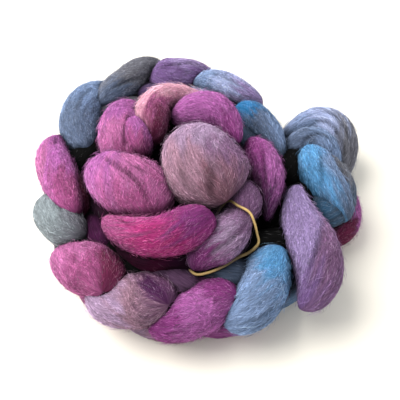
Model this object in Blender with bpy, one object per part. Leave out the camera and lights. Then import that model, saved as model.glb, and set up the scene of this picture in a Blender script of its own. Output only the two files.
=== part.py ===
"""Wool roving: one long strand of dyed combed top, worked into a chain and coiled like a nest.

Every stitch of the chain shows as a plump leg. The legs of the outer turn lie side by side like
a thick rope, each one starting on the inner side of the coil and running out to its rim. The
inner turn is piled on top of them and ends in one big loop. A thin elastic tie hangs round it.
Lengths in the tables are millimetres and angles are degrees, both as seen from above.
"""
import math
from collections import namedtuple

import bmesh
import bpy
from mathutils import Vector

MM = 0.001
UP = Vector((0.0, 0.0, 1.0))
# the coil's own middle, set so that its footprint is centred on the origin
COIL_MIDDLE = Vector((0.1, -1.1, 0.0))

# ---------------------------------------------------------------- driving dimensions
LEG_SIDES = 12
LEG_STEPS = 8
BURIED_SIDES = 8
BURIED_STEPS = 6
BLUNTNESS = 2.4

RETURN_INSET = 19.0
RETURN_HEIGHT = 25.0
RETURN_LENGTH = 51.0
RETURN_GIRTH = 28.0
RETURN_SPLAY = -22.0

BUMP_INSET = 3.0
BUMP_HEIGHT = 11.0
BUMP_LENGTH = 52.0
BUMP_GIRTH = 26.0

HEART_INSET = 10.0
HEART_HEIGHT = 19.0
HEART_LENGTH = 78.0
HEART_GIRTH = 34.0

LINING_GRIP = 5.0
LINING_SPARE = 12.0
LINING_SUNK = 4.0

FLOOR_BUMPS = 9
FLOOR_REACH = 53.0
FLOOR_HEIGHT = 12.5
FLOOR_LENGTH = 53.0
FLOOR_WIDTH = 42.0
FLOOR_DEPTH = 28.0

TABLE_SIZE = 400.0
TABLE_DEPTH = 60.0
CORNER_MERGE = 0.01

TIE_GIRTH = 1.9
TIE_SIDES = 8
TIE_STEPS = 8
TIE_CLEARANCE = 0.4
TIE_AXIS = Vector((0.75, 0.45, 0.5))

# ---------------------------------------------------------------- tables
# angle and reach place the crown of a leg round the coil, height is the crown's middle above
# the table, splay turns the leg from the coil's clockwise run out towards the rim, dip_in and
# dip_out lower its start and its end, bow bends it sideways and hook bends its two ends opposite
# ways, fat moves its fullest place, lean_l and lean_r widen its left and its right side towards
# the end, and blunt_in and blunt_out say how full its start and its end stay
Leg = namedtuple("Leg", "name angle reach height length width depth splay dip_in dip_out bow fat "
                        "hook lean_l lean_r blunt_in blunt_out",
                 defaults=(0, 0, 0, 0, BLUNTNESS, BLUNTNESS))

OUTER_LEGS = (
    # name, angle, reach, height, length, width, depth, splay, dip_in, dip_out, bow, fat, hook,
    # lean_l, lean_r, blunt_in, blunt_out
    Leg("end_arch", 25,  96,  30, 52, 31, 30, 30,  20,  18, 27,  0.20,  -2,  0.05,  0.10,  1.9, 2.0),
    Leg("s1",       349, 78,  36, 56, 24, 32, 30,  0,   9,  -5,  -0.05, 0,   -0.20, 0.05,  2.3, 3.1),
    Leg("s2",       316, 89,  36, 73, 31, 29, 51,  -9,  10, 7,   0.30,  7,   0.20,  -0.50, 1.8, 1.9),
    Leg("s3",       291, 96,  30, 51, 29, 27, 36,  -9,  9,  6,   0.05,  3,   0.15,  -0.35, 2.3, 2.3),
    Leg("s4",       268, 102, 26, 50, 28, 26, 21,  -9,  6,  0,   -0.15, 3,   0.40,  -0.35, 2.6, 1.8),
    Leg("s5",       248, 103, 28, 45, 31, 28, 18,  -10, 3,  0,   -0.05, 7,   0.20,  -0.20, 3.3, 1.8),
    Leg("s6",       230, 100, 32, 44, 32, 26, 8,   -8,  3,  -3,  -0.10, 8,   0.10,  -0.10, 2.5, 1.8),
    Leg("s7",       209, 94,  34, 38, 27, 28, 9,   -3,  6,  6,   0.00,  0,   0.10,  0.25,  2.7, 4.4),
    Leg("s8",       186, 91,  34, 80, 24, 31, 18,  -2,  10, 8,   -0.15, 4,   0.15,  -0.15, 3.5, 3.5),
    Leg("s9",       149, 98,  34, 75, 28, 27, 26,  -2,  7,  14,  0.00,  0,   0.00,  -0.05, 2.7, 2.7),
    Leg("s10",      121, 102, 34, 75, 24, 26, 29,  -5,  11, 1,   -0.05, 2,   -0.30, 0.10,  2.4, 2.6),
    Leg("s11",      97,  95,  33, 50, 29, 28, 4,   -2,  12, 0,   -0.15, 4,   -0.30, -0.35, 3.4, 1.8),
    Leg("s12",      75,  80,  34, 55, 21, 28, -12, 3,   5,  2,   -0.10, -3,  -0.15, -0.05, 2.2, 1.9),
    Leg("s13",      38,  56,  35, 50, 20, 26, 1,   -6,  5,  5,   -0.25, 0,   -0.10, -0.15, 2.7, 1.8),
)

INNER_LEGS = (
    # name, angle, reach, height, length, width, depth, splay, dip_in, dip_out, bow, fat, hook,
    # lean_l, lean_r, blunt_in, blunt_out
    Leg("i1",       338, 45,  46, 60, 19, 27, 30,  2,   9,  7,   -0.10, 0,   -0.20, -0.20, 1.9, 2.0),
    Leg("i2",       300, 50,  46, 22, 23, 26, 65,  2,   3,  1,   -0.30, -1,  0.00,  0.05,  2.5, 2.9),
    Leg("i3",       281, 67,  46, 44, 27, 22, 26,  0,   10, 7,   0.05,  -10, 0.20,  0.15,  2.0, 1.9),
    Leg("i4",       251, 75,  53, 63, 20, 27, 198, 11,  -6, -15, 0.10,  3,   0.40,  0.20,  2.8, 4.0),
    Leg("i5",       219, 55,  57, 61, 39, 28, 183, 14,  1,  -4,  0.05,  6,   0.45,  -0.10, 2.2, 1.9),
    Leg("i6",       166, 51,  51, 55, 31, 29, 208, 4,   3,  -7,  -0.10, 8,   -0.15, 0.25,  2.6, 2.7),
    Leg("i7",       127, 47,  52, 62, 22, 28, 201, 7,   -3, -21, 0.15,  4,   0.15,  0.30,  1.8, 3.3),
    Leg("i8",       74,  27,  59, 50, 21, 24, -5,  14,  3,  12,  -0.10, 7,   -0.20, -0.05, 2.3, 1.8),
    Leg("top_loop", 274, 25,  64, 54, 47, 33, 97,  7,   6,  -8,  -0.10, 0,   0.35,  0.05,  2.3, 3.1),
)

# second halves of legs that a long crease splits, the end that runs on under the first stitch,
# and the wool that fills the bottom of the nest
FOLDS = (
    # name, angle, reach, height, length, width, depth, splay, dip_in, dip_out, bow, fat, hook,
    # lean_l, lean_r, blunt_in, blunt_out
    Leg("nest",     190, 8,   22, 74, 84, 42, 0,   0,   0,  0,   0.00,  0,   0.00,  0.00,  2.4, 2.4),
    Leg("tail",     346, 96,  15, 53, 24, 26, -7,  0,   -3, 4,   0.40,  -3,  -0.10, 0.00,  2.0, 2.1),
    Leg("fold_end", 14,  81,  33, 34, 22, 26, 50,  6,   11, 12,  -0.15, 2,   0.10,  -0.15, 3.4, 2.4),
    Leg("fold_s1",  349, 86,  34, 48, 26, 23, 10,  4,   5,  9,   0.00,  7,   0.30,  0.05,  3.7, 3.7),
    Leg("fold_s8",  190, 88,  41, 71, 21, 25, 8,   -4,  9,  1,   -0.05, -3,  -0.20, -0.10, 2.9, 1.9),
    Leg("fold_i5",  218, 48,  56, 53, 18, 30, 192, 13,  8,  1,   0.15,  0,   0.05,  0.00,  1.8, 2.5),
    Leg("fold_i6",  172, 41,  52, 30, 24, 28, 203, 6,   4,  2,   0.00,  -4,  -0.20, 0.00,  1.9, 2.1),
    Leg("fold_top", 306, 23,  58, 37, 22, 32, 39,  4,   7,  23,  0.25,  0,   0.05,  0.05,  1.8, 2.5),
)

# the elastic tie is a closed loop that sags round the third leg of the inner turn
TiePoint = namedtuple("TiePoint", "angle reach height")

TIE_ROUTE = (
    TiePoint(288, 48, 53),
    TiePoint(293, 56, 56),
    TiePoint(297, 61, 54),
    TiePoint(298, 65, 49),
    TiePoint(298, 69, 43),
    TiePoint(297, 73, 39),
    TiePoint(292, 75, 37),
    TiePoint(286, 77, 38),
    TiePoint(279, 82, 40),
    TiePoint(273, 84, 38),
    TiePoint(268, 84, 37),
    TiePoint(264, 76, 36),
    TiePoint(268, 65, 37),
    TiePoint(277, 54, 43),
)


# ---------------------------------------------------------------- shapes
def polar(angle, reach, height):
    """A point from its angle and reach about the middle of the coil, in metres."""
    turn = math.radians(angle)
    spoke = Vector((math.cos(turn), math.sin(turn), 0.0))
    return (COIL_MIDDLE + spoke * reach + UP * height) * MM


def leg_path(leg, steps):
    """Points along the middle of a leg: a curve that dips and bows away from its crown."""
    crown = polar(leg.angle, leg.reach, leg.height)
    heading = math.radians(leg.angle - 90 + leg.splay)
    along = Vector((math.cos(heading), math.sin(heading), 0.0))
    left = Vector((-along.y, along.x, 0.0))
    points = []
    for step in range(steps + 1):
        s = -math.cos(math.pi * step / steps)
        dip = leg.dip_in if s < 0 else leg.dip_out
        sway = leg.bow * s * s + leg.hook * s ** 3
        offset = along * (s * leg.length / 2) - left * sway - UP * (dip * s * s)
        points.append(crown + offset * MM)
    return points


def leg_section(leg, step, steps):
    """Half widths to the right and the left and half depth of a leg's section at a step."""
    s = -math.cos(math.pi * step / steps)
    shifted = s - leg.fat * (1 - s * s)
    bluntness = leg.blunt_in if shifted < 0 else leg.blunt_out
    full = math.sqrt(max(0.0, 1 - abs(shifted) ** bluntness)) * MM / 2
    right = leg.width * full * (1 + leg.lean_r * s)
    left = leg.width * full * (1 + leg.lean_l * s)
    return right, left, leg.depth * full


def oval_ring(mesh, middle, tangent, axis, halves, sides):
    """Corners of an oval section square to the tangent; its widths lie square to the axis.

    The halves are the section's half width to the right, its half width to the left and its
    half depth.
    """
    side = tangent.cross(axis).normalized()
    normal = side.cross(tangent)
    right, left, deep = halves
    corners = []
    for corner in range(sides):
        turn = 2 * math.pi * corner / sides
        across = math.cos(turn)
        wide = right if across > 0 else left
        offset = side * (wide * across) + normal * (deep * math.sin(turn))
        corners.append(mesh.verts.new(middle + offset))
    return corners


def bridge(mesh, ring, after):
    """A band of quads from one section to the next."""
    sides = len(ring)
    for corner in range(sides):
        beyond = (corner + 1) % sides
        mesh.faces.new((ring[corner], ring[beyond], after[beyond], after[corner]))


def placed(name, mesh):
    """A new object in the scene that takes over the mesh, its faces turned outward."""
    bmesh.ops.recalc_face_normals(mesh, faces=mesh.faces)
    data = bpy.data.meshes.new(name)
    mesh.to_mesh(data)
    mesh.free()
    piece = bpy.data.objects.new(name, data)
    bpy.context.scene.collection.objects.link(piece)
    return piece


def build_leg(leg, sides, steps):
    """One leg: a closed tube of oval sections along its path, drawn to a point at both ends."""
    mesh = bmesh.new()
    points = leg_path(leg, steps)
    rings = []
    for step in range(1, steps):
        tangent = (points[step + 1] - points[step - 1]).normalized()
        halves = leg_section(leg, step, steps)
        rings.append(oval_ring(mesh, points[step], tangent, UP, halves, sides))
    for ring, after in zip(rings, rings[1:]):
        bridge(mesh, ring, after)
    for tip, ring in ((points[0], rings[0]), (points[-1], rings[-1])):
        end = mesh.verts.new(tip)
        for corner in range(sides):
            mesh.faces.new((end, ring[corner], ring[(corner + 1) % sides]))
    return placed(leg.name, mesh)


def ring_path(route, steps):
    """Points along a closed smooth curve through the route, steps to a span."""
    corners = [polar(*corner) for corner in route]
    count = len(corners)
    points = []
    for index in range(count):
        a, b, c, d = (corners[(index + shift) % count] for shift in (-1, 0, 1, 2))
        for step in range(steps):
            t = step / steps
            curve = b * 2 + (c - a) * t
            curve += (a * 2 - b * 5 + c * 4 - d) * t ** 2
            curve += (b * 3 - a - c * 3 + d) * t ** 3
            points.append(curve / 2)
    return points


def closed_tube(name, points, radius):
    """A round tube along a closed line of points."""
    mesh = bmesh.new()
    rings = []
    count = len(points)
    for index in range(count):
        tangent = (points[(index + 1) % count] - points[index - 1]).normalized()
        halves = (radius, radius, radius)
        rings.append(oval_ring(mesh, points[index], tangent, TIE_AXIS, halves, TIE_SIDES))
    for index in range(count):
        bridge(mesh, rings[index - 1], rings[index])
    return placed(name, mesh)


# ---------------------------------------------------------------- hidden parts of the chain
def between(before, after):
    """Angle and reach halfway from one leg to the next, going clockwise."""
    sweep = (before.angle - after.angle) % 360
    return before.angle - sweep / 2, (before.reach + after.reach) / 2


def return_leg(before, after):
    """The stitch's other leg, which runs back along the inner side of the turn."""
    angle, reach = between(before, after)
    return Leg("return_" + after.name, angle, reach - RETURN_INSET, RETURN_HEIGHT, RETURN_LENGTH,
               RETURN_GIRTH, RETURN_GIRTH, RETURN_SPLAY, 0, 0, 3)


def bump(before, after):
    """The strand's pass under the stitch, which lies on the table along the rim."""
    angle, reach = between(before, after)
    return Leg("bump_" + after.name, angle, reach - BUMP_INSET, BUMP_HEIGHT, BUMP_LENGTH,
               BUMP_GIRTH, BUMP_GIRTH, 0, 0, 0, 4)


def heart(before, after):
    """The wool packed inside the chain, between the legs, the returns and the bumps."""
    angle, reach = between(before, after)
    return Leg("heart_" + after.name, angle, reach - HEART_INSET, HEART_HEIGHT, HEART_LENGTH,
               HEART_GIRTH, HEART_GIRTH, 0, 0, 0, 5)


def lining(leg):
    """The lower strand that carries a leg of the inner turn and grips its underside."""
    top = leg.height - leg.depth / 2 + LINING_GRIP
    return leg._replace(name="under_" + leg.name, height=top / 2, depth=top + LINING_SUNK,
                        width=leg.width + LINING_SPARE, dip_in=0, dip_out=0)


def floor_bump(index):
    """One of the bumps under the inner turn, which fills the ring down at the table."""
    return Leg("floor_" + str(index), index * 360 / FLOOR_BUMPS, FLOOR_REACH, FLOOR_HEIGHT,
               FLOOR_LENGTH, FLOOR_WIDTH, FLOOR_DEPTH, 0, 0, 0, 6)


# ---------------------------------------------------------------- joining and finish
def table_top():
    """The space below the table's surface, which presses the coil's foot flat."""
    mesh = bmesh.new()
    bmesh.ops.create_cube(mesh, size=MM)
    bmesh.ops.scale(mesh, vec=(TABLE_SIZE, TABLE_SIZE, TABLE_DEPTH), verts=mesh.verts)
    bmesh.ops.translate(mesh, vec=-UP * (TABLE_DEPTH / 2 * MM), verts=mesh.verts)
    return placed("table_top", mesh)


def boolean(piece, name, operation, operands):
    """Keep a Boolean modifier on the piece, which takes all the operands at once."""
    group = bpy.data.collections.new(name)
    for operand in operands:
        group.objects.link(operand)
        operand.hide_render = True
        operand.display_type = "WIRE"
    modifier = piece.modifiers.new(name, "BOOLEAN")
    modifier.operation = operation
    modifier.solver = "EXACT"
    modifier.operand_type = "COLLECTION"
    modifier.collection = group


def material(name, colour, roughness):
    """A plain Principled material."""
    finish = bpy.data.materials.new(name)
    finish.use_nodes = True
    shader = finish.node_tree.nodes["Principled BSDF"]
    shader.inputs["Base Color"].default_value = (*colour, 1.0)
    shader.inputs["Roughness"].default_value = roughness
    shader.inputs["Metallic"].default_value = 0.0
    return finish


def roving_legs():
    """Every leg of the chain, seen and hidden, the big top loop first."""
    seen = INNER_LEGS[::-1] + OUTER_LEGS + FOLDS
    legs = [build_leg(leg, LEG_SIDES, LEG_STEPS) for leg in seen]
    for before, after in zip(OUTER_LEGS, OUTER_LEGS[1:]):
        for maker in (return_leg, bump, heart):
            legs.append(build_leg(maker(before, after), BURIED_SIDES, BURIED_STEPS))
    for leg in INNER_LEGS:
        legs.append(build_leg(lining(leg), BURIED_SIDES, BURIED_STEPS))
    for index in range(FLOOR_BUMPS):
        legs.append(build_leg(floor_bump(index), BURIED_SIDES, BURIED_STEPS))
    return legs


def main():
    for stale in list(bpy.data.objects):
        bpy.data.objects.remove(stale)

    route = ring_path(TIE_ROUTE, TIE_STEPS)
    tie = closed_tube("tie", route, TIE_GIRTH / 2 * MM)
    tie.data.materials.append(material("amber elastic", (0.60, 0.42, 0.16), 0.45))
    tie.data.shade_smooth()
    channel = closed_tube("channel", route, (TIE_GIRTH / 2 + TIE_CLEARANCE) * MM)

    roving, *others = roving_legs()
    roving.name = "roving"
    roving.data.materials.append(material("dyed wool", (0.42, 0.20, 0.38), 0.95))
    boolean(roving, "union", "UNION", others)
    boolean(roving, "foot", "DIFFERENCE", [table_top()])
    boolean(roving, "groove", "DIFFERENCE", [channel])
    tidy = roving.modifiers.new("merge corners", "WELD")
    tidy.merge_threshold = CORNER_MERGE * MM


main()
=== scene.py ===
"""Dressing for the coiled wool roving: combed fibre legs, loose fuzz, an elastic tie and a plain table.

The roving is one strand worked into a chain. Each stitch shows as a plump leg, so the legs are
modelled one by one on the frame's own paths, dyed, darkened with painted shade in their
crevices and creases, and then covered with combed fibres.
Lengths in the tables are millimetres and angles are degrees seen from above.
"""

import math
from collections import namedtuple

import bpy
import numpy as np
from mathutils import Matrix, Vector
from mathutils.bvhtree import BVHTree


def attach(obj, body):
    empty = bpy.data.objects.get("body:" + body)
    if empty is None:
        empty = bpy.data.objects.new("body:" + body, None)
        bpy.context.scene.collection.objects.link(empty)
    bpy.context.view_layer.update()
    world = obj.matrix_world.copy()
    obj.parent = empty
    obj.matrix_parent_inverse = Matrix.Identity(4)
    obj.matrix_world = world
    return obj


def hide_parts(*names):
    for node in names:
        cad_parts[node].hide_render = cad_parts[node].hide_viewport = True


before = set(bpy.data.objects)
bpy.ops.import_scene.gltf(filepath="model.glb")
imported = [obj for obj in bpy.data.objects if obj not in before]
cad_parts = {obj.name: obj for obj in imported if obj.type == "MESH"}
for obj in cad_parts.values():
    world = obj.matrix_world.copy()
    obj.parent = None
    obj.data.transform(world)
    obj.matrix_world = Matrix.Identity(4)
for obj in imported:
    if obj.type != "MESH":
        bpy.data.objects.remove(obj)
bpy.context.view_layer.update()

MM = 0.001
TURN = 2 * math.pi
UP = np.array((0.0, 0.0, 1.0))
COIL_MIDDLE = np.array((0.1, -1.1, 0.0))
BLUNTNESS = 2.4
POLE_REACH = 0.9995
LOWEST = 0.0003

# ---------------------------------------------------------------- the strand's legs
# angle and reach place the crown of a leg round the coil, height is the crown's middle above
# the table, splay turns the leg out towards the rim, dip_in and dip_out lower its start and
# its end, bow bends it sideways and hook bends its two ends opposite ways, fat moves its fullest
# place, lean_l and lean_r widen its left and right side towards the end, and blunt_in and
# blunt_out say how full its start and its end stay
Leg = namedtuple("Leg", "name angle reach height length width depth splay dip_in dip_out bow fat "
                        "hook lean_l lean_r blunt_in blunt_out",
                 defaults=(0, 0, 0, 0, BLUNTNESS, BLUNTNESS))

OUTER_LEGS = (
    # name, angle, reach, height, length, width, depth, splay, dip_in, dip_out, bow, fat, hook,
    # lean_l, lean_r, blunt_in, blunt_out
    Leg("end_arch", 25,  96,  30, 52, 31, 30, 30,  20,  18, 27,  0.20,  -2,  0.05,  0.10,  1.9, 2.0),
    Leg("s1",       349, 78,  36, 56, 24, 32, 30,  0,   9,  -5,  -0.05, 0,   -0.20, 0.05,  2.3, 3.1),
    Leg("s2",       316, 89,  36, 73, 31, 29, 51,  -9,  10, 7,   0.30,  7,   0.20,  -0.50, 1.8, 1.9),
    Leg("s3",       291, 96,  30, 51, 29, 27, 36,  -9,  9,  6,   0.05,  3,   0.15,  -0.35, 2.3, 2.3),
    Leg("s4",       268, 102, 26, 50, 28, 26, 21,  -9,  6,  0,   -0.15, 3,   0.40,  -0.35, 2.6, 1.8),
    Leg("s5",       248, 103, 28, 45, 31, 28, 18,  -10, 3,  0,   -0.05, 7,   0.20,  -0.20, 3.3, 1.8),
    Leg("s6",       230, 100, 32, 44, 32, 26, 8,   -8,  3,  -3,  -0.10, 8,   0.10,  -0.10, 2.5, 1.8),
    Leg("s7",       209, 94,  34, 38, 27, 28, 9,   -3,  6,  6,   0.00,  0,   0.10,  0.25,  2.7, 4.4),
    Leg("s8",       186, 91,  34, 80, 24, 31, 18,  -2,  10, 8,   -0.15, 4,   0.15,  -0.15, 3.5, 3.5),
    Leg("s9",       149, 98,  34, 75, 28, 27, 26,  -2,  7,  14,  0.00,  0,   0.00,  -0.05, 2.7, 2.7),
    Leg("s10",      121, 102, 34, 75, 24, 26, 29,  -5,  11, 1,   -0.05, 2,   -0.30, 0.10,  2.4, 2.6),
    Leg("s11",      97,  95,  33, 50, 29, 28, 4,   -2,  12, 0,   -0.15, 4,   -0.30, -0.35, 3.4, 1.8),
    Leg("s12",      75,  80,  34, 55, 21, 28, -12, 3,   5,  2,   -0.10, -3,  -0.15, -0.05, 2.2, 1.9),
    Leg("s13",      38,  56,  35, 50, 20, 26, 1,   -6,  5,  5,   -0.25, 0,   -0.10, -0.15, 2.7, 1.8),
)

INNER_LEGS = (
    # name, angle, reach, height, length, width, depth, splay, dip_in, dip_out, bow, fat, hook,
    # lean_l, lean_r, blunt_in, blunt_out
    Leg("i1",       338, 45,  46, 60, 19, 27, 30,  2,   9,  7,   -0.10, 0,   -0.20, -0.20, 1.9, 2.0),
    Leg("i2",       300, 50,  46, 22, 23, 26, 65,  2,   3,  1,   -0.30, -1,  0.00,  0.05,  2.5, 2.9),
    Leg("i3",       281, 67,  46, 44, 27, 22, 26,  0,   10, 7,   0.05,  -10, 0.20,  0.15,  2.0, 1.9),
    Leg("i4",       251, 75,  53, 63, 20, 27, 198, 11,  -6, -15, 0.10,  3,   0.40,  0.20,  2.8, 4.0),
    Leg("i5",       219, 55,  57, 61, 39, 28, 183, 14,  1,  -4,  0.05,  6,   0.45,  -0.10, 2.2, 1.9),
    Leg("i6",       166, 51,  51, 55, 31, 29, 208, 4,   3,  -7,  -0.10, 8,   -0.15, 0.25,  2.6, 2.7),
    Leg("i7",       127, 47,  52, 62, 22, 28, 201, 7,   -3, -21, 0.15,  4,   0.15,  0.30,  1.8, 3.3),
    Leg("i8",       74,  27,  59, 50, 21, 24, -5,  14,  3,  12,  -0.10, 7,   -0.20, -0.05, 2.3, 1.8),
    Leg("top_loop", 274, 25,  64, 54, 47, 33, 97,  7,   6,  -8,  -0.10, 0,   0.35,  0.05,  2.3, 3.1),
)

FOLDS = (
    # name, angle, reach, height, length, width, depth, splay, dip_in, dip_out, bow, fat, hook,
    # lean_l, lean_r, blunt_in, blunt_out
    Leg("tail",     346, 96,  15, 53, 24, 26, -7,  0,   -3, 4,   0.40,  -3,  -0.10, 0.00,  2.0, 2.1),
    Leg("fold_end", 14,  81,  33, 34, 22, 26, 50,  6,   11, 12,  -0.15, 2,   0.10,  -0.15, 3.4, 2.4),
    Leg("fold_s1",  349, 86,  34, 48, 26, 23, 10,  4,   5,  9,   0.00,  7,   0.30,  0.05,  3.7, 3.7),
    Leg("fold_s8",  190, 88,  41, 71, 21, 25, 8,   -4,  9,  1,   -0.05, -3,  -0.20, -0.10, 2.9, 1.9),
    Leg("fold_i5",  218, 48,  56, 53, 18, 30, 192, 13,  8,  1,   0.15,  0,   0.05,  0.00,  1.8, 2.5),
    Leg("fold_i6",  172, 41,  52, 30, 24, 28, 203, 6,   4,  2,   0.00,  -4,  -0.20, 0.00,  1.9, 2.1),
    Leg("fold_top", 306, 23,  58, 37, 22, 32, 39,  4,   7,  23,  0.25,  0,   0.05,  0.05,  1.8, 2.5),
)

NEST = Leg("nest", 190, 8, 22, 74, 84, 42, 0, 0, 0, 0, 0.00)

# ---------------------------------------------------------------- dyes, and a near-black for painted shadow
DYES = {
    # blues
    "sky": (0.10, 0.30, 0.55),
    "steel": (0.20, 0.28, 0.45),
    "slate": (0.12, 0.16, 0.25),
    "ice": (0.40, 0.46, 0.70),
    "teal": (0.04, 0.10, 0.18),
    "cerulean": (0.03, 0.18, 0.40),
    # greys
    "sage": (0.26, 0.30, 0.32),
    "grey": (0.18, 0.18, 0.21),
    # the near-black below is no dye but painted shadow for wool deep in the gaps
    "shadow_black": (0.01, 0.01, 0.01),
    # violets
    "lavender": (0.30, 0.22, 0.42),
    "lilac": (0.38, 0.26, 0.40),
    "violet": (0.18, 0.10, 0.26),
    "mauve": (0.22, 0.11, 0.22),
    "plum": (0.08, 0.02, 0.08),
    # pinks and reds
    "salmon": (0.80, 0.42, 0.52),
    "orchid": (0.40, 0.12, 0.36),
    "pink": (0.45, 0.14, 0.32),
    "rose": (0.35, 0.08, 0.22),
    "raspberry": (0.45, 0.04, 0.20),
    "magenta": (0.22, 0.04, 0.18),
    "wine": (0.14, 0.02, 0.06),
    # browns
    "taupe": (0.36, 0.20, 0.27),
    "brown": (0.24, 0.11, 0.15),
}

# where each dye took: run is the place along the leg from -1 at its start to 1 at its end, and
# side goes from -1 on the leg's left, seen along the run, to 1 on its right
Patch = namedtuple("Patch", "run side dye")

DYED = {
    "end_arch": (Patch(-0.6, 0.4, "steel"), Patch(0.0, 0.3, "ice"), Patch(0.6, -0.4, "grey")),
    "s1": (Patch(-0.4, 0.7, "sky"), Patch(0.2, 0.7, "sky"), Patch(0.0, -0.5, "steel"),
           Patch(0.7, 0.0, "slate")),
    "s2": (Patch(-0.5, 0.0, "lavender"), Patch(0.2, 0.5, "lavender"), Patch(0.3, -0.5, "mauve"),
           Patch(0.8, 0.2, "violet")),
    "s3": (Patch(-0.5, 0.0, "sky"), Patch(0.0, 0.6, "steel"), Patch(0.5, -0.4, "steel")),
    "s4": (Patch(-0.7, 0.3, "magenta"), Patch(0.0, -0.4, "orchid"), Patch(0.7, -0.5, "magenta")),
    "s5": (Patch(-0.8, 0.0, "plum"), Patch(-0.2, -0.4, "taupe"), Patch(0.5, -0.5, "lilac")),
    "s6": (Patch(-0.7, 0.5, "wine"), Patch(-0.2, -0.2, "rose"), Patch(0.1, 0.2, "pink"),
           Patch(0.6, -0.4, "pink")),
    "s7": (Patch(-0.6, 0.6, "grey"), Patch(0.1, -0.4, "sage")),
    "s8": (Patch(-0.7, 0.6, "wine"), Patch(0.0, -0.4, "pink"), Patch(0.6, 0.4, "orchid")),
    "s9": (Patch(-0.5, 0.0, "slate"), Patch(0.3, 0.1, "steel")),
    "s10": (Patch(-0.7, 0.6, "slate"), Patch(-0.1, 0.2, "grey"), Patch(0.6, 0.4, "grey")),
    "s11": (Patch(-0.6, 0.4, "violet"), Patch(0.0, 0.0, "lavender"), Patch(0.5, 0.5, "violet")),
    "s12": (Patch(-0.6, 0.5, "steel"), Patch(0.0, 0.5, "ice"), Patch(0.6, 0.5, "lavender")),
    "s13": (Patch(-0.7, 0.2, "cerulean"), Patch(-0.1, 0.4, "slate"), Patch(0.5, 0.2, "steel")),
    "i1": (Patch(-0.3, 0.5, "magenta"), Patch(0.1, -0.2, "orchid"), Patch(0.8, 0.0, "plum")),
    "i2": (Patch(0.0, 0.0, "mauve"),),
    "i3": (Patch(-0.4, -0.4, "mauve"), Patch(0.0, -0.4, "lilac"), Patch(0.6, -0.4, "magenta")),
    "i4": (Patch(-0.6, 0.5, "rose"), Patch(0.0, 0.6, "raspberry"), Patch(0.6, 0.4, "magenta")),
    "i5": (Patch(-0.5, 0.4, "orchid"), Patch(0.1, 0.0, "pink"), Patch(0.7, 0.5, "rose")),
    "i6": (Patch(-0.3, 0.2, "orchid"), Patch(0.3, 0.3, "pink"), Patch(0.8, 0.0, "rose")),
    "i7": (Patch(-0.5, 0.0, "salmon"), Patch(0.1, 0.4, "salmon"), Patch(0.4, -0.3, "rose"),
           Patch(0.9, -0.4, "wine")),
    "i8": (Patch(-0.5, 0.5, "orchid"), Patch(0.2, 0.4, "orchid"), Patch(0.8, 0.5, "magenta")),
    "top_loop": (Patch(-0.3, 0.0, "lilac"), Patch(0.2, -0.5, "mauve"), Patch(0.3, 0.5, "taupe"),
                 Patch(0.8, 0.2, "brown")),
    "tail": (Patch(0.0, -0.8, "orchid"), Patch(0.8, -0.8, "wine")),
    "fold_end": (Patch(-0.4, 0.4, "slate"), Patch(0.3, 0.2, "steel")),
    "fold_s1": (Patch(0.0, 0.0, "grey"), Patch(0.7, 0.0, "teal")),
    "fold_s8": (Patch(-0.7, 0.3, "rose"), Patch(0.4, 0.2, "orchid")),
    "fold_i5": (Patch(0.0, 0.3, "pink"), Patch(0.7, 0.3, "rose")),
    "fold_i6": (Patch(0.0, -0.4, "orchid"), Patch(0.6, 0.0, "rose")),
    "fold_top": (Patch(0.0, 0.0, "lavender"),),
    # the near-black at the far ends of these two returns is painted shadow where they go under the
    # stitches
    "return_s4": (Patch(-0.3, 0.0, "slate"), Patch(0.5, 0.0, "shadow_black")),
    "return_s5": (Patch(0.0, 0.0, "mauve"),),
    "return_s7": (Patch(-0.3, 0.0, "magenta"), Patch(0.5, 0.0, "shadow_black")),
    "nest": (Patch(0.0, 0.0, "plum"),),
}
# painted shadow: these returns and undersides lie deep in the gaps and are coloured near-black
SHADOW_PAINTED_PARTS = ("return_s1", "return_s2", "return_s3", "return_s6", "return_s9", "under_i2", "under_i7")
DYED.update({name: (Patch(0.0, 0.0, "shadow_black"),) for name in SHADOW_PAINTED_PARTS})
# how far a dye spreads along a leg and across it
BLUR_RUN, BLUR_SIDE = 0.38, 0.50
# the light left at the bottom of a crevice, and how soon it falls off
DEEPEST = 0.08
OPEN_GAIN, OPEN_FALL = 1.35, 1.7
# painted shade: the share of its dye's brightness that the wool under the stitches keeps, by kind
LOWER_PAINTED_SHADE = {"return": 0.5, "bump": 0.75, "heart": 0.2, "under": 0.12, "floor": 0.1, "nest": 0.25}

# creases pressed into single legs, with painted shade darkening them: they run from one place
# on the leg to another, where turn is 0 on the right of the leg, 90 on top and 180 on the left;
# bend bows the line sideways
Crease = namedtuple("Crease", "leg run0 turn0 run1 turn1 bend depth width")

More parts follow.
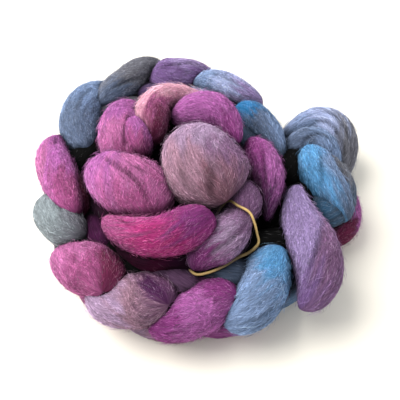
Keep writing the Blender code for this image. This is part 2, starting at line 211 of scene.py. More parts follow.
CREASES = (
    #      leg         run0  turn0 run1 turn1 bend depth width
    Crease("end_arch", -0.5, 45, 0.75, 105, -2, 1.4, 1.3),
    Crease("end_arch", -0.5, 84, 0.8, 130, -3, 0.7, 1.1),
    Crease("fold_end", -0.7, 42, 0.5, 115, 0, 1.0, 1.3),
    Crease("fold_s1", -0.5, 118, 0.5, 104, 0, 1.2, 1.4),
    Crease("s1", -0.4, 100, 0.37, 30, 2, 1.2, 1.6),
    Crease("s2", -0.1, 112, 0.8, 54, 0, 1.2, 1.7),
    Crease("s3", 0.15, 150, 0.7, 140, 0, 0.7, 0.9),
    Crease("s3", 0.1, 172, 0.6, 168, 0, 0.6, 0.9),
    Crease("s4", 0.2, 150, 0.8, 140, 0, 0.5, 0.9),
    Crease("s8", 0.2, 55, 0.7, 75, 1, 0.8, 1.4),
    Crease("s8", -0.7, 60, -0.2, 80, -1, 0.7, 1.2),
    Crease("s9", -0.1, 90, 0.35, 65, 2, 1.1, 1.4),
    Crease("s10", -0.8, 70, 0.05, 30, 1, 1.3, 1.8),
    Crease("s11", -0.85, 80, 0.45, 81, 1, 1.3, 1.5),
    Crease("s12", -0.4, 75, 0.4, 60, 1, 0.7, 1.4),
    Crease("i1", -0.4, 88, 0.72, 74, -4, 1.0, 1.5),
    Crease("i3", -0.4, 130, 0.75, 120, 1, 1.3, 1.5),
    Crease("i4", -0.65, 95, -0.3, 70, 1, 1.0, 1.3),
    Crease("i5", -0.45, 74, 0.95, 76, 3.4, 1.5, 1.5),
    Crease("i6", -0.2, 121, 0.85, 73, 0, 1.6, 1.8),
    Crease("top_loop", 0.45, 96, 0.95, 40, 1, 1.4, 1.9),
    Crease("top_loop", 0.1, 60, 0.8, 25, -1, 0.6, 1.6),
)

# how far the fibres of a leg wind round it, in turns of a radian from the middle to an end
TWIST = {"i5": 1.9, "fold_i5": 1.9, "i4": -1.2, "s5": 1.2, "s6": 0.9, "top_loop": 0.2}
EASY_TWIST = 0.6

# directions in which a crevice is tested: their share outwards, aside and ahead
def sky_rays():
    rays = [(1.0, 0.0, 0.0)]
    for lean, count in ((0.80, 5), (0.40, 6)):
        wide = math.sqrt(1 - lean ** 2)
        for index in range(count):
            turn = TURN * index / count
            rays.append((lean, wide * math.cos(turn), wide * math.sin(turn)))
    return rays


SKY_RAYS = sky_rays()

# length, width and lift are millimetres; stray is the share that stands off, wander and curl bend
# a fibre and pale lightens some; density is fibres for each square millimetre of a leg
Hair = namedtuple("Hair", "length width lift stray wander curl pale")
COMBED_HAIR = Hair(5.2, 0.32, 0.27, 0.02, 0.36, 0.16, 0.12)
HALO_HAIR = Hair(6.0, 0.12, 0.9, 0.60, 0.7, 0.25, 0.20)
COMBED_DENSITY, LOWER_DENSITY, HALO_DENSITY = 1.2, 0.09, 0.21
COMBED_BENDS, HALO_BENDS = 3, 4

# points round and along the ball of a leg
OUTER_FINENESS, INNER_FINENESS, LOWER_FINENESS = (68, 44), (72, 48), (32, 20)

# half the width and half the thickness of the elastic, and the way that its flat side faces
TIE_WIDE, TIE_THICK = 0.95, 0.75
TIE_AXIS = np.array((0.75, 0.45, 0.5))
TIE_STEPS = 24

# the camera looks down at the coil's middle; the lamp stands for a window at the upper left
CAMERA_TILT, CAMERA_FAR = math.radians(50), 0.390
SENSOR_WIDTH, LENS_LENGTH = 36, 50.4
ROOM_COLOUR, ROOM_LIGHT = (0.95, 0.97, 1.0), 0.85
LAMP_PLACE, LAMP_SIZE, LAMP_POWER = (-0.65, 0.12, 0.85), 1.0, 22
LAMP_COLOUR = (1.0, 0.98, 0.95)
TABLE_COLOUR, TABLE_SIZE = (0.90, 0.86, 0.76), 6

# ---------------------------------------------------------------- noise
def even_noise(seed, rows, columns):
    """Smooth random values from -1 to 1 over a leg, rows along it and columns round it."""
    grid = np.random.default_rng(seed).uniform(-1, 1, (rows + 2, columns))

    def read(run, turn):
        x = np.clip((run + 1) / 2, 0, 1) * rows
        y = np.mod(turn / TURN, 1.0) * columns
        row, column = np.floor(x).astype(int), np.floor(y).astype(int) % columns
        beyond = (column + 1) % columns
        fx, fy = x - np.floor(x), y - np.floor(y)
        fx, fy = fx * fx * (3 - 2 * fx), fy * fy * (3 - 2 * fy)
        near = grid[row, column] * (1 - fy) + grid[row, beyond] * fy
        far = grid[row + 1, column] * (1 - fy) + grid[row + 1, beyond] * fy
        return near * (1 - fx) + far * fx

    return read


# ---------------------------------------------------------------- the surface of a leg
class Lobe:
    """The rounded surface of one leg: a place along it and a turn round it give a point."""

    def __init__(self, leg, seed):
        self.leg, self.seed = leg, seed
        self.twist = TWIST.get(leg.name, EASY_TWIST)
        angle, heading = math.radians(leg.angle), math.radians(leg.angle - 90 + leg.splay)
        spoke = np.array((math.cos(angle), math.sin(angle), 0.0))
        self.crown = COIL_MIDDLE + spoke * leg.reach + UP * leg.height
        self.along = np.array((math.cos(heading), math.sin(heading), 0.0))
        self.left = np.array((-math.sin(heading), math.cos(heading), 0.0))
        self.swell = even_noise(seed, 3, 4)
        self.ribs = even_noise(seed + 1, 3, 11)
        self.locks = even_noise(seed + 2, 5, 26)
        self.streaks = even_noise(seed + 3, 4, 30)
        self.shades = even_noise(seed + 4, 7, 56)
        patches = DYED.get(leg.name, (Patch(0, 0, "plum"),))
        self.patches = [(p.run, p.side, np.array(DYES[p.dye])) for p in patches]

    def bare(self, run, turn):
        """The plain lobe, in millimetres."""
        leg = self.leg
        run = run[..., None]
        dip = np.where(run < 0, leg.dip_in, leg.dip_out)
        middle = self.crown + self.along * (run * leg.length / 2)
        aside = leg.bow * run ** 2 + leg.hook * run ** 3
        middle = middle - self.left * aside - UP * (dip * run ** 2)
        turning = 2 * leg.bow * run + 3 * leg.hook * run ** 2
        tangent = self.along * (leg.length / 2) - self.left * turning
        tangent = tangent - UP * (2 * dip * run)
        tangent /= np.linalg.norm(tangent, axis=-1, keepdims=True)
        side = np.cross(tangent, UP)
        side /= np.linalg.norm(side, axis=-1, keepdims=True)
        top = np.cross(side, tangent)
        shifted = run - leg.fat * (1 - run ** 2)
        blunt = np.where(shifted < 0, leg.blunt_in, leg.blunt_out)
        full = np.sqrt(np.maximum(0.0, 1 - np.abs(shifted) ** blunt))
        cos, sin = np.cos(turn)[..., None], np.sin(turn)[..., None]
        lean = 1 + np.where(cos > 0, leg.lean_r, leg.lean_l) * run
        wide, deep = leg.width / 2 * full * lean, leg.depth / 2 * full
        return middle + side * (wide * cos) + top * (deep * sin)

    def outward(self, run, turn):
        """Unit directions straight out of the plain lobe."""
        run = np.clip(run, -0.985, 0.985)
        step = 0.004
        lengthways = self.bare(run + step, turn) - self.bare(run - step, turn)
        round_about = self.bare(run, turn + step) - self.bare(run, turn - step)
        normal = np.cross(round_about, lengthways)
        size = np.linalg.norm(normal, axis=-1, keepdims=True)
        return -normal / np.maximum(size, 1e-12)

    def look_out(self, tree, rows=18, columns=26, reach=0.030):
        """Note how open the wool is over the whole leg: 1 in the open and 0 deep in a crevice."""
        self.open_rows, self.open_columns = rows, columns
        run, turn = np.meshgrid(np.linspace(-0.97, 0.97, rows), np.arange(columns) / columns * TURN,
                                indexing="ij")
        points, outs = self.place(run, turn, np.full(run.shape, 0.7))
        grid = np.zeros(run.shape)
        for place in np.ndindex(run.shape):
            at, out = Vector(points[place]), Vector(outs[place])
            across = out.orthogonal().normalized()
            other = out.cross(across)
            clear = 0.0
            for lean, aside, ahead in SKY_RAYS:
                way = out * lean + across * aside + other * ahead
                hit, _, _, far = tree.ray_cast(at, way, reach)
                clear += 1.0 if hit is None else far / reach * 0.5
            grid[place] = clear / len(SKY_RAYS)
        self.grid = grid

    def openness(self, run, turn):
        """The noted openness at any place, read between the nearest four."""
        x = np.clip((run + 0.97) / 1.94, 0, 0.9999) * (self.open_rows - 1)
        y = np.mod(turn / TURN, 1.0) * self.open_columns
        row, column = np.floor(x).astype(int), np.floor(y).astype(int) % self.open_columns
        beyond = (column + 1) % self.open_columns
        fx, fy = x - np.floor(x), y - np.floor(y)
        near = self.grid[row, column] * (1 - fy) + self.grid[row, beyond] * fy
        far = self.grid[row + 1, column] * (1 - fy) + self.grid[row + 1, beyond] * fy
        return near * (1 - fx) + far * fx

    def relief(self, run, turn):
        """How far the wool stands out from the plain lobe, in millimetres."""
        ends = np.clip((1 - np.abs(run)) * 6, 0, 1)
        slant = turn + run * self.twist
        swell = self.swell(run, slant) * 0.6
        ribs = (np.abs(self.ribs(run, slant)) - 0.35) * 0.5
        locks = self.locks(run, slant) * 0.14
        return (swell + ribs + locks) * ends - self.furrow(run, turn)[0]

    def furrow(self, run, turn):
        """Depth of the leg's creases at a place, and how far into a crease it is, 0 to 1."""
        leg, deepest, inside = self.leg, np.zeros(run.shape), np.zeros(run.shape)
        girth = (leg.width + leg.depth) / 4
        for crease in CREASES:
            if crease.leg != leg.name:
                continue
            x, y = run * leg.length / 2, (np.mod(turn + TURN / 4, TURN) - TURN / 4) * girth
            x0, y0 = crease.run0 * leg.length / 2, math.radians(crease.turn0) * girth
            x1, y1 = crease.run1 * leg.length / 2, math.radians(crease.turn1) * girth
            dx, dy = x1 - x0, y1 - y0
            share = ((x - x0) * dx + (y - y0) * dy) / (dx * dx + dy * dy)
            held = np.clip(share, 0, 1)
            bend = crease.bend * 4 * held * (1 - held)
            size = math.hypot(dx, dy)
            away = np.hypot(x - x0 - held * dx + bend * dy / size, y - y0 - held * dy - bend * dx / size)
            fade = np.sin(np.pi * np.clip(held, 0.04, 0.96)) ** 0.6
            line = np.exp(-(away / crease.width) ** 2) * fade
            deepest = np.maximum(deepest, line * crease.depth)
            inside = np.maximum(inside, line)
        return deepest, inside

    def place(self, run, turn, lift=0.0):
        """Points on the wool, lift millimetres above it, in metres."""
        out = self.outward(run, turn)
        height = self.relief(run, turn) + lift
        points = (self.bare(run, turn) + out * height[..., None]) * MM
        points[..., 2] = np.maximum(points[..., 2], LOWEST)
        return points, out

    def dye(self, run, turn, blur=1.0):
        """The dye of the wool at a place, its edges drawn out along the fibres."""
        slant = turn + run * self.twist
        side = np.cos(turn) + self.streaks(run, slant) * 0.28 * blur
        place = run + self.shades(run, slant) * 0.30 * blur
        total, mix = 0.0, 0.0
        for at_run, at_side, dye in self.patches:
            far = ((place - at_run) / BLUR_RUN) ** 2 + ((side - at_side) / BLUR_SIDE) ** 2
            weight = ((far + 0.15) ** -1.7)[..., None]
            total, mix = total + weight, mix + weight * dye
        tone = 1 + 0.12 * self.shades(run, slant) + 0.12 * self.streaks(run, slant)
        return mix / total * tone[..., None]

    def shade(self, run, turn):
        """How much light comes to a place, from DEEPEST in a crevice to 1 in the open."""
        clear = np.clip(self.openness(run, turn) * OPEN_GAIN, 0, 1)
        light = DEEPEST + (1 - DEEPEST) * clear ** OPEN_FALL
        # painted shade: the light is halved along the middle of a crease
        return (light * (1 - 0.5 * self.furrow(run, turn)[1]))[..., None]


# ---------------------------------------------------------------- meshes
def deselect():
    """Leave nothing selected."""
    for item in list(bpy.context.selected_objects):
        item.select_set(False)


def paint(mesh, colours):
    """Keep the colours on the mesh, one colour to a corner point: the wool's dyes or the band's amber,
    with painted shade in them.
    """
    layer = mesh.color_attributes.new("dye", "FLOAT_COLOR", "POINT")
    full = np.ones((len(mesh.vertices), 4), dtype=np.float32)
    full[:, :3] = np.clip(colours, 0, 1)
    layer.data.foreach_set("color", full.ravel())


def make_leg(lobe, segments, rings, tile):
    """A ball stretched along the leg's own path, its poles at the leg's two ends."""
    deselect()
    bpy.ops.mesh.primitive_uv_sphere_add(segments=segments, ring_count=rings, radius=1)
    ball = bpy.context.object
    ball.name = lobe.leg.name
    mesh = ball.data
    corners = np.empty(len(mesh.vertices) * 3)
    mesh.vertices.foreach_get("co", corners)
    corners = corners.reshape(-1, 3)
    run = np.clip(-corners[:, 2], -POLE_REACH, POLE_REACH)
    turn = np.arctan2(corners[:, 1], corners[:, 0])
    points, _ = lobe.place(run, turn)
    mesh.vertices.foreach_set("co", points.ravel())
    lobe.stations = run, turn
    round_map = mesh.uv_layers[0]
    round_map.name = "lie"
    places = np.empty(len(mesh.loops) * 2)
    round_map.data.foreach_get("uv", places)
    places = places.reshape(-1, 2)
    bake_map = mesh.uv_layers.new(name="OFBake")
    bake_map.data.foreach_set("uv", tiled(places, tile).ravel())
    girth = (lobe.leg.width + lobe.leg.depth) / 2 * math.pi
    scaled = places * np.array((girth, lobe.leg.length)) + lobe.seed * 7.3
    round_map.data.foreach_set("uv", scaled.ravel())
    mesh.shade_smooth()
    return ball


def tiled(places, tile):
    """Map places from 0 to 1 moved into one tile of a square sheet of tiles."""
    index, across = tile
    column, row = index % across, index // across
    inset = 0.02
    return (places * (1 - 2 * inset) + inset + np.array((column, row))) / across


def joined(name, pieces):
    """One object made of several."""
    deselect()
    for piece in pieces:
        piece.select_set(True)
    bpy.context.view_layer.objects.active = pieces[0]
    bpy.ops.object.join()
    whole = bpy.context.object
    whole.name = whole.data.name = name
    return whole


def settle(piece, node, finish):
    """Give the piece what it is made of and what it rides on, and hide the part that it stands in for.
    """
    piece.data.materials.clear()
    piece.data.materials.append(finish)
    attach(piece, "root")
    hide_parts(node)


# ---------------------------------------------------------------- hidden parts of the chain
def between(before, after):
    """The angle and reach halfway from one stitch to the next."""
    sweep = (before.angle - after.angle) % 360
    return before.angle - sweep / 2, (before.reach + after.reach) / 2


def lower_legs():
    """The parts of the chain that lie under the stitches that show."""
    legs = [NEST]
    for before, after in zip(OUTER_LEGS, OUTER_LEGS[1:]):
        angle, reach = between(before, after)
        legs.append(Leg("return_" + after.name, angle, reach - 19, 25, 51, 28, 28, -22, 0, 0, 3, 0))
        legs.append(Leg("bump_" + after.name, angle, reach - 3, 11, 52, 26, 26, 0, 0, 0, 4, 0))
        legs.append(Leg("heart_" + after.name, angle, reach - 10, 19, 78, 34, 34, 0, 0, 0, 5, 0))
    for leg in INNER_LEGS:
        top = leg.height - leg.depth / 2 + 5
        legs.append(leg._replace(name="under_" + leg.name, height=top / 2, depth=top + 4,
                                 width=leg.width + 12, dip_in=0, dip_out=0))
    for index in range(9):
        legs.append(Leg(f"floor_{index}", index * 40, 53, 12.5, 53, 42, 28, 0, 0, 0, 6, 0))
    return legs


# ---------------------------------------------------------------- fibres
def fibre_mesh(name, lobes, density, hair, seed, across, bends):
    """Closed, three-sided fibres, pointed at both ends, combed along the legs."""
    rng = np.random.default_rng(seed)
    all_points, all_colours, all_maps = [], [], []
    for number, lobe in enumerate(lobes):
        leg = lobe.leg
        area = math.pi * (leg.width + leg.depth) / 2 * leg.length * 0.8
        count = int(area * density)
        run = rng.uniform(-0.96, 0.96, count * 2)
        keep = rng.random(count * 2) < np.sqrt(1 - np.abs(run) ** BLUNTNESS)
        run = run[keep][:count]
        turn = rng.uniform(0, TURN, len(run))
        middle, _ = lobe.place(run, turn, np.full(len(run), 1.2))
        shown = (lobe.openness(run, turn) > 0.16) & (middle[:, 2] > 0.003)
        run, turn = run[shown], turn[shown]
        count = len(run)
        if not count:
            continue
        size = rng.uniform(0.5, 1.4, count) * hair.length
        slant = rng.normal(0, hair.wander, count)
        sway = rng.normal(0, 1, (count, 2))
        t = np.linspace(-0.5, 0.5, bends)[None, :]
        girth = (leg.width + leg.depth) / 4
        full = np.sqrt(np.maximum(0.08, 1 - np.abs(run) ** BLUNTNESS))
        along = size[:, None] * t * np.cos(slant)[:, None]
        aside = size[:, None] * t * np.sin(slant)[:, None]
        aside = aside + sway[:, :1] * size[:, None] * hair.curl * np.sin(t * 5.0 + sway[:, 1:] * 2)
        runs = np.clip(run[:, None] + along / (leg.length / 2), -0.99, 0.99)
        turns = turn[:, None] + aside / (girth * full)[:, None] - lobe.twist * (runs - run[:, None])
        arch = 1 - (2 * t) ** 2
        lift = hair.lift * rng.uniform(0.3, 1.0, count)[:, None] * arch - 0.12
        wild = (rng.random(count) < hair.stray)[:, None]
        rise = rng.uniform(0.8, 3.0, count)[:, None] * (t + 0.5) ** 1.5
        lift = lift + wild * rise
        points, outs = lobe.place(runs, turns, lift)
        girths = hair.width * rng.uniform(0.6, 1.3, count) * MM
        all_points.append(rings_of(points, outs, girths))
        tone = np.clip(rng.normal(1.0, 0.38, count), 0.3, 2.2)
        pale = np.clip(rng.normal(hair.pale, hair.pale * 1.2, count), 0, 0.8)[:, None, None]
        colours = np.clip(lobe.dye(runs, turns) * tone[:, None, None], 0, 1)
        colours = colours * (1 + pale) + (1 - colours) * 0.3 * pale
        # painted shade: each fibre is darkened where its leg lies in a crevice or a crease
        colours = colours * lobe.shade(runs, turns)
        all_colours.append(spread(colours))
        spots = np.stack((np.mod(turns / TURN, 1.0), (1 - runs) / 2), axis=-1)
        whole = np.abs(np.diff(spots[..., 0], axis=1)).max(axis=1) < 0.5
        spots[~whole] = spots[~whole][:, :1]
        all_maps.append(spread(tiled(spots, (number, across))))
    points = np.concatenate(all_points)
    return fibre_object(name, points, np.concatenate(all_colours), np.concatenate(all_maps), bends)


def rings_of(points, outs, girths):
    """Corner points of the fibres: a tip, rings of three, and a tip."""
    count, bends, _ = points.shape
    way = np.gradient(points, axis=1)
    way /= np.maximum(np.linalg.norm(way, axis=-1, keepdims=True), 1e-12)
    side = np.cross(way, outs)
    side /= np.maximum(np.linalg.norm(side, axis=-1, keepdims=True), 1e-12)
    top = np.cross(side, way)
    shares = np.array([1.0 if 1 < b < bends - 2 else 0.75 for b in range(bends)])
    half = (girths[:, None] * shares / 2)[..., None]
    corners = []
    for turn in (90, 210, 330):
        a = math.radians(turn)
        corners.append(points + side * half * math.cos(a) + top * half * math.sin(a))
    rings = np.stack(corners, axis=2)[:, 1:-1].reshape(count, -1, 3)
    return np.concatenate((points[:, :1], rings, points[:, -1:]), axis=1)


def spread(values):
    """The values of a fibre's bends, repeated for the corners of its rings."""
    inner = np.repeat(values[:, 1:-1], 3, axis=1)
    return np.concatenate((values[:, :1], inner, values[:, -1:]), axis=1)


def fibre_object(name, points, colours, spots, bends):
    """One object of many fibres from their corner points, dyes with painted shade, and map places."""
    count, each, _ = points.shape
    rings = bends - 2
    faces = []
    last = each - 1
    for c in range(3):
        d = (c + 1) % 3
        faces.append((0, 1 + d, 1 + c))
        faces.append((last, last - 3 + c, last - 3 + d))
        for r in range(rings - 1):
            a, b = 1 + 3 * r, 4 + 3 * r
            faces.append((a + c, a + d, b + d))
            faces.append((a + c, b + d, b + c))
    faces = np.array(faces, dtype=np.int32)
    corners = (faces[None] + (np.arange(count, dtype=np.int32) * each)[:, None, None]).ravel()
    mesh = bpy.data.meshes.new(name)
    mesh.vertices.add(count * each)
    mesh.vertices.foreach_set("co", points.ravel())
    mesh.loops.add(len(corners))
    mesh.loops.foreach_set("vertex_index", corners)
    total = len(corners) // 3
    mesh.polygons.add(total)
    mesh.polygons.foreach_set("loop_start", np.arange(total, dtype=np.int32) * 3)
    mesh.update(calc_edges=True)
    mesh.validate()
    paint(mesh, colours.reshape(-1, 3))
    flat = spots.reshape(-1, 2)
    mesh.uv_layers.new(name="OFBake").data.foreach_set("uv", flat[corners].ravel())
    mesh.shade_smooth()
    piece = bpy.data.objects.new(name, mesh)
    bpy.context.scene.collection.objects.link(piece)
    print(name, "triangles", total)
    return piece


# ---------------------------------------------------------------- materials
def node(tree, kind, **values):
    made = tree.nodes.new(kind)
    for key, value in values.items():
        setattr(made, key, value)
    return made


def grain_group():
    """Fine combed fibre: lighter and darker hairs drawn out along the lie of the wool."""
    group = bpy.data.node_groups.new("combed_grain", "ShaderNodeTree")
    sockets = group.interface
    sockets.new_socket("Dye", in_out="INPUT", socket_type="NodeSocketColor")
    for name, value in (("Fineness", 1.2), ("Stretch", 8.0), ("Contrast", 0.3)):
        sockets.new_socket(name, in_out="INPUT", socket_type="NodeSocketFloat").default_value = value
    sockets.new_socket("Colour", in_out="OUTPUT", socket_type="NodeSocketColor")
    sockets.new_socket("Hairs", in_out="OUTPUT", socket_type="NodeSocketFloat")
    link = group.links.new
    given = node(group, "NodeGroupInput")
    out = node(group, "NodeGroupOutput")
    lie = node(group, "ShaderNodeUVMap", uv_map="lie")
    split = node(group, "ShaderNodeSeparateXYZ")
    slower = node(group, "ShaderNodeMath", operation="DIVIDE")
    place = node(group, "ShaderNodeCombineXYZ")
    hairs = node(group, "ShaderNodeTexNoise")
    hairs.inputs["Detail"].default_value = 3.0
    hairs.inputs["Roughness"].default_value = 0.65
    hairs.inputs["Distortion"].default_value = 0.6
    link(lie.outputs["UV"], split.inputs[0])
    link(split.outputs["Y"], slower.inputs[0])
    link(given.outputs["Stretch"], slower.inputs[1])
    link(split.outputs["X"], place.inputs["X"])
    link(slower.outputs[0], place.inputs["Y"])
    link(place.outputs[0], hairs.inputs["Vector"])
    link(given.outputs["Fineness"], hairs.inputs["Scale"])
    centred = node(group, "ShaderNodeMath", operation="SUBTRACT")
    centred.inputs[1].default_value = 0.5
    link(hairs.outputs["Fac"], centred.inputs[0])
    strong = node(group, "ShaderNodeMath", operation="MULTIPLY_ADD")
    strong.inputs[2].default_value = 0.62
    link(centred.outputs[0], strong.inputs[0])
    link(given.outputs["Contrast"], strong.inputs[1])
    shade = node(group, "ShaderNodeVectorMath", operation="SCALE")
    link(given.outputs["Dye"], shade.inputs[0])
    link(strong.outputs[0], shade.inputs["Scale"])
    link(shade.outputs[0], out.inputs["Colour"])
    link(hairs.outputs["Fac"], out.inputs["Hairs"])
    return group


def wool(name, group, contrast, bump):
    finish = bpy.data.materials.new(name)
    finish.use_nodes = True
    tree = finish.node_tree
    shader = tree.nodes["Principled BSDF"]
    shader.inputs["Roughness"].default_value = 0.85
    shader.inputs["Specular IOR Level"].default_value = 0.04
    # the colour attribute holds the dyes with painted shade in them
    dye = node(tree, "ShaderNodeAttribute", attribute_name="dye")
    if group is None:
        tree.links.new(dye.outputs["Color"], shader.inputs["Base Color"])
        return finish
    grain = node(tree, "ShaderNodeGroup", node_tree=group)
    grain.inputs["Contrast"].default_value = contrast
    tree.links.new(dye.outputs["Color"], grain.inputs["Dye"])
    tree.links.new(grain.outputs["Colour"], shader.inputs["Base Color"])
    raised = node(tree, "ShaderNodeBump")
    raised.inputs["Strength"].default_value = bump
    raised.inputs["Distance"].default_value = 0.0004
    tree.links.new(grain.outputs["Hairs"], raised.inputs["Height"])
    tree.links.new(raised.outputs["Normal"], shader.inputs["Normal"])
    return finish


def plain(name, colour, roughness):
    finish = bpy.data.materials.new(name)
    finish.use_nodes = True
    shader = finish.node_tree.nodes["Principled BSDF"]
    shader.inputs["Base Color"].default_value = (*colour, 1)
    shader.inputs["Roughness"].default_value = roughness
    return finish


def elastic():
    """Covered elastic: its fine cross ribs run round the band."""
    finish = bpy.data.materials.new("amber_elastic")
    finish.use_nodes = True
    tree = finish.node_tree
    shader = tree.nodes["Principled BSDF"]
    shader.inputs["Roughness"].default_value = 0.38
    # the colour attribute holds the band's amber with painted shade in it
    dye = node(tree, "ShaderNodeAttribute", attribute_name="dye")
    lie = node(tree, "ShaderNodeUVMap", uv_map="UVMap")
    ribs = node(tree, "ShaderNodeTexWave")
    ribs.inputs["Scale"].default_value = 80
    raised = node(tree, "ShaderNodeBump")
    raised.inputs["Strength"].default_value = 0.4
    raised.inputs["Distance"].default_value = 0.0002
    tree.links.new(dye.outputs["Color"], shader.inputs["Base Color"])
    tree.links.new(lie.outputs["UV"], ribs.inputs["Vector"])
    tree.links.new(ribs.outputs["Fac"], raised.inputs["Height"])
    tree.links.new(raised.outputs["Normal"], shader.inputs["Normal"])
    return finish


# ---------------------------------------------------------------- the tie
AMBER = (0.92, 0.62, 0.22)
TIE_ROUTE = ((288, 48, 53), (293, 56, 56), (297, 61, 54), (298, 65, 49), (298, 69, 43),
             (297, 73, 39), (292, 75, 37), (286, 77, 38), (279, 82, 40), (273, 84, 38),
             (268, 84, 37), (264, 76, 36), (268, 65, 37), (277, 54, 43))


def tie_line(steps):
    """Points along the closed smooth curve of the tie, in millimetres."""
    corners = []
    for angle, reach, height in TIE_ROUTE:
        a = math.radians(angle)
        corners.append(COIL_MIDDLE + np.array((math.cos(a), math.sin(a), 0)) * reach + UP * height)
    points = []
    for index in range(len(corners)):
        a, b, c, d = (corners[(index + s) % len(corners)] for s in (-1, 0, 1, 2))
        for step in range(steps):
            t = step / steps
            points.append((b * 2 + (c - a) * t + (a * 2 - b * 5 + c * 4 - d) * t ** 2
                           + (b * 3 - a - c * 3 + d) * t ** 3) / 2)
    return np.array(points)


def sky_over(tree, point):
    """The share of the sky that a point of the tie sees past the wool."""
    clear = 0
    for lean, aside, ahead in SKY_RAYS:
        way = Vector((aside, ahead, lean))
        if tree.ray_cast(Vector(point) + way * 0.0015, way, 0.06)[0] is None:
            clear += 1
    return clear / len(SKY_RAYS)


def make_tie(finish, tree):
    """A flat elastic band laid along the route of its solid, its amber darkened with painted shade where
    the wool hides the sky.
    """
    points = tie_line(TIE_STEPS)
    deselect()
    bpy.ops.mesh.primitive_torus_add(major_segments=len(points), minor_segments=14,
                                     major_radius=1, minor_radius=0.25)
    band = bpy.context.object
    band.name = band.data.name = "elastic_band"
    mesh = band.data
    corners = np.empty(len(mesh.vertices) * 3)
    mesh.vertices.foreach_get("co", corners)
    corners = corners.reshape(-1, 3)
    station = np.round(np.mod(np.arctan2(corners[:, 1], corners[:, 0]) / TURN, 1) * len(points))
    station = station.astype(int) % len(points)
    far = np.hypot(corners[:, 0], corners[:, 1]) - 1
    around = np.arctan2(corners[:, 2], far)
    way = np.roll(points, -1, axis=0) - np.roll(points, 1, axis=0)
    way /= np.linalg.norm(way, axis=1, keepdims=True)
    side = np.cross(way, TIE_AXIS)
    side /= np.linalg.norm(side, axis=1, keepdims=True)
    top = np.cross(side, way)
    spots = points[station] + side[station] * (TIE_WIDE * np.cos(around))[:, None]
    spots = spots + top[station] * (TIE_THICK * np.sin(around))[:, None]
    mesh.vertices.foreach_set("co", (spots * MM).ravel())
    mesh.shade_smooth()
    clear = np.array([sky_over(tree, point * MM) for point in points])
    clear = (np.roll(clear, 3) + np.roll(clear, -3) + clear) / 3
    # painted shade: the band's amber is darkened where the wool hides the sky from it
    light = (DEEPEST + (1 - DEEPEST) * np.clip(clear * 1.1, 0, 1) ** 3)[station]
    paint(mesh, light[:, None] * np.array(AMBER))
    settle(band, "tie", finish)
    return band


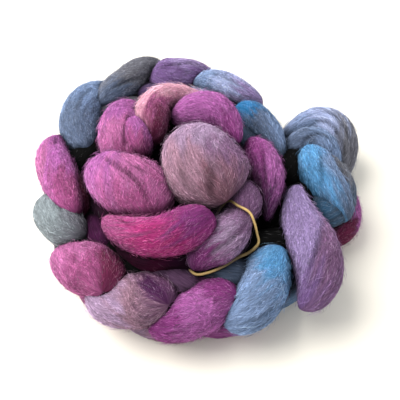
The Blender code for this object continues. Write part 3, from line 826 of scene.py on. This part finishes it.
# ---------------------------------------------------------------- making
def main():
    outer = [Lobe(leg, 100 + 10 * i) for i, leg in enumerate(OUTER_LEGS + FOLDS[:4])]
    inner = [Lobe(leg, 400 + 10 * i) for i, leg in enumerate(INNER_LEGS + FOLDS[4:])]
    lower = [Lobe(leg, 700 + 10 * i) for i, leg in enumerate(lower_legs())]
    for lobe in lower:
        kind, _, name = lobe.leg.name.partition("_")
        # painted shade: the hidden wool's dyes are darkened by its kind
        depth = LOWER_PAINTED_SHADE[kind]
        patches = DYED.get(lobe.leg.name) or DYED.get(name, (Patch(0, 0, "plum"),))
        lobe.patches = [(r, s, np.array(DYES[d]) * depth) for r, s, d in patches]

    group = grain_group()
    combed = wool("combed_wool", group, 1.3, 0.5)
    shaded = wool("packed_wool", group, 1.3, 0.5)
    hairs = wool("loose_fibre", None, 0, 0)

    outer_balls = [make_leg(b, *OUTER_FINENESS, (i, 5)) for i, b in enumerate(outer)]
    outer_piece = joined("outer_legs", outer_balls)
    inner_balls = [make_leg(b, *INNER_FINENESS, (i, 4)) for i, b in enumerate(inner)]
    inner_piece = joined("inner_legs", inner_balls)
    lower_balls = [make_leg(b, *LOWER_FINENESS, (i, 8)) for i, b in enumerate(lower)]
    lower_piece = joined("lower_legs", lower_balls)
    settle(outer_piece, "roving", combed)
    settle(inner_piece, "roving", combed)
    settle(lower_piece, "roving", shaded)

    points, faces = [], []
    for piece in (outer_piece, inner_piece, lower_piece):
        start = len(points)
        points.extend(v.co[:] for v in piece.data.vertices)
        faces.extend([start + v for v in p.vertices] for p in piece.data.polygons)
    tree = BVHTree.FromPolygons(points, faces)
    for lobes, piece in ((outer, outer_piece), (inner, inner_piece), (lower, lower_piece)):
        for lobe in lobes:
            lobe.look_out(tree)
        # painted shade: each leg's colour is its dyes darkened where it lies in a crevice or a crease
        paint(piece.data, np.concatenate([b.dye(*b.stations) * b.shade(*b.stations) for b in lobes]))

    for name, lobes, density, hair, seed, across in (
        ("outer_fibres_a", outer[:6], COMBED_DENSITY, COMBED_HAIR, 11, 3),
        ("outer_fibres_b", outer[6:12], COMBED_DENSITY, COMBED_HAIR, 12, 3),
        ("outer_fibres_c", outer[12:], COMBED_DENSITY, COMBED_HAIR, 18, 3),
        ("inner_fibres_a", inner[:6], COMBED_DENSITY, COMBED_HAIR, 13, 3),
        ("inner_fibres_b", inner[6:], COMBED_DENSITY, COMBED_HAIR, 14, 3),
        ("lower_fibres", lower, LOWER_DENSITY, COMBED_HAIR, 15, 8),
        ("outer_fuzz", outer, HALO_DENSITY, HALO_HAIR, 16, 5),
        ("inner_fuzz", inner, HALO_DENSITY, HALO_HAIR, 17, 4),
    ):
        bends = HALO_BENDS if hair is HALO_HAIR else COMBED_BENDS
        piece = fibre_mesh(name, lobes, density, hair, seed, across, bends)
        settle(piece, "roving", hairs)

    make_tie(elastic(), tree)


def studio():
    deselect()
    bpy.ops.mesh.primitive_plane_add(size=TABLE_SIZE, location=(0, 0, 0))
    table = bpy.context.object
    table.name = "table"
    table.data.materials.append(plain("pale_table", TABLE_COLOUR, 0.6))

    world = bpy.data.worlds.new("soft_room")
    bpy.context.scene.world = world
    world.use_nodes = True
    back = world.node_tree.nodes["Background"]
    back.inputs["Color"].default_value = (*ROOM_COLOUR, 1)
    back.inputs["Strength"].default_value = ROOM_LIGHT

    lamp = bpy.data.lights.new("window", "AREA")
    lamp.shape = "SQUARE"
    lamp.size = LAMP_SIZE
    lamp.energy = LAMP_POWER
    lamp.color = LAMP_COLOUR
    holder = bpy.data.objects.new("window", lamp)
    holder.location = LAMP_PLACE
    holder.rotation_euler = (-Vector(holder.location)).to_track_quat("-Z", "Y").to_euler()
    bpy.context.scene.collection.objects.link(holder)

    lens = bpy.data.cameras.new("camera")
    lens.sensor_width = SENSOR_WIDTH
    lens.lens = LENS_LENGTH
    camera = bpy.data.objects.new("camera", lens)
    aim_x, aim_y, _ = COIL_MIDDLE * MM
    camera.location = (aim_x, aim_y - CAMERA_FAR * math.cos(CAMERA_TILT),
                       CAMERA_FAR * math.sin(CAMERA_TILT))
    camera.rotation_euler = (math.pi / 2 - CAMERA_TILT, 0, 0)
    bpy.context.scene.collection.objects.link(camera)
    bpy.context.scene.camera = camera
    bpy.context.scene.view_settings.view_transform = "Standard"


main()
studio()
